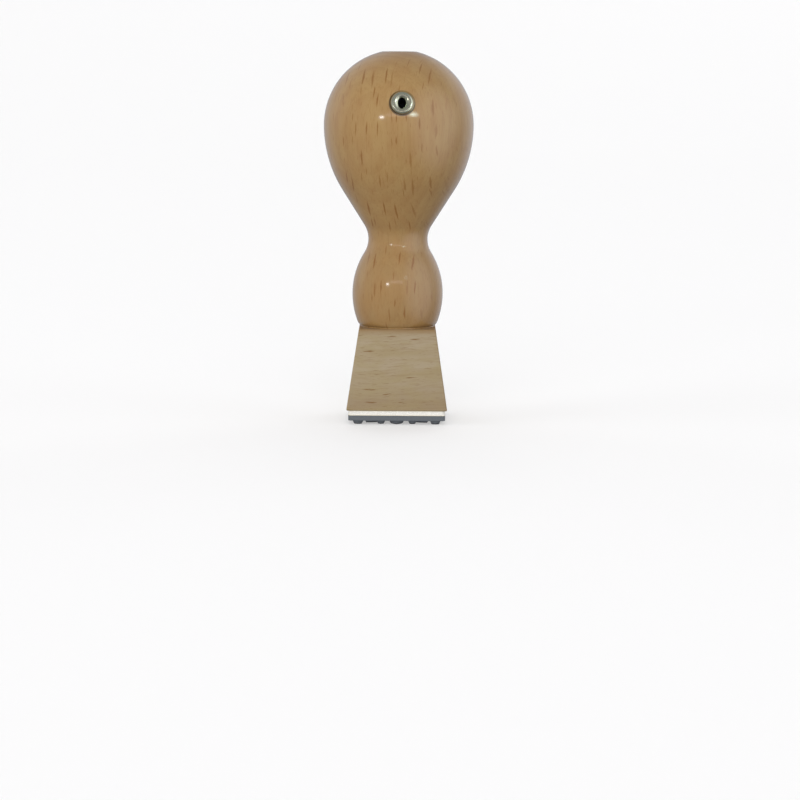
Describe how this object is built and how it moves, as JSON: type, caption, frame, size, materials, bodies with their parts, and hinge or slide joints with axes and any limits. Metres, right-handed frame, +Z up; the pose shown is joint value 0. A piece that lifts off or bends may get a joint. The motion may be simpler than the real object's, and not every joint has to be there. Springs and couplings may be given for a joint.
{
  "type": "wooden hand stamp",
  "caption": "Hand stamp with a bulb-shaped turned wooden handle, a metal front mark, and a tapered square block that carries foam and an engraved rubber die.",
  "frame": {"origin": "middle of the printing face, on the surface that the stamp stands on", "axes": "+Z up along the handle's axis; the metal front mark faces -Y; X runs along the block's grain"},
  "size_m": [0.0372, 0.0374, 0.0916],
  "materials": {
    "lacquered_beech": "clear gloss lacquer over turned beech",
    "bare_beech": "sanded, unfinished",
    "nickel_plate": "polished nickel plate",
    "zinc_steel": "zinc-plated, satin",
    "adhesive_film": "translucent adhesive, pale",
    "foam": "fine closed-cell foam, matt",
    "die_rubber": "laser-engraved rubber, matt"
  },
  "bodies": {
    "root": {"handle": "lacquered_beech", "front_mark_eyelet": "nickel_plate", "mount_block": "bare_beech", "handle_screw": "zinc_steel", "block_adhesive_film": "adhesive_film", "foam_cushion": "foam", "die_adhesive_film": "adhesive_film", "rubber_die": "die_rubber"}
  },
  "joints": []
}
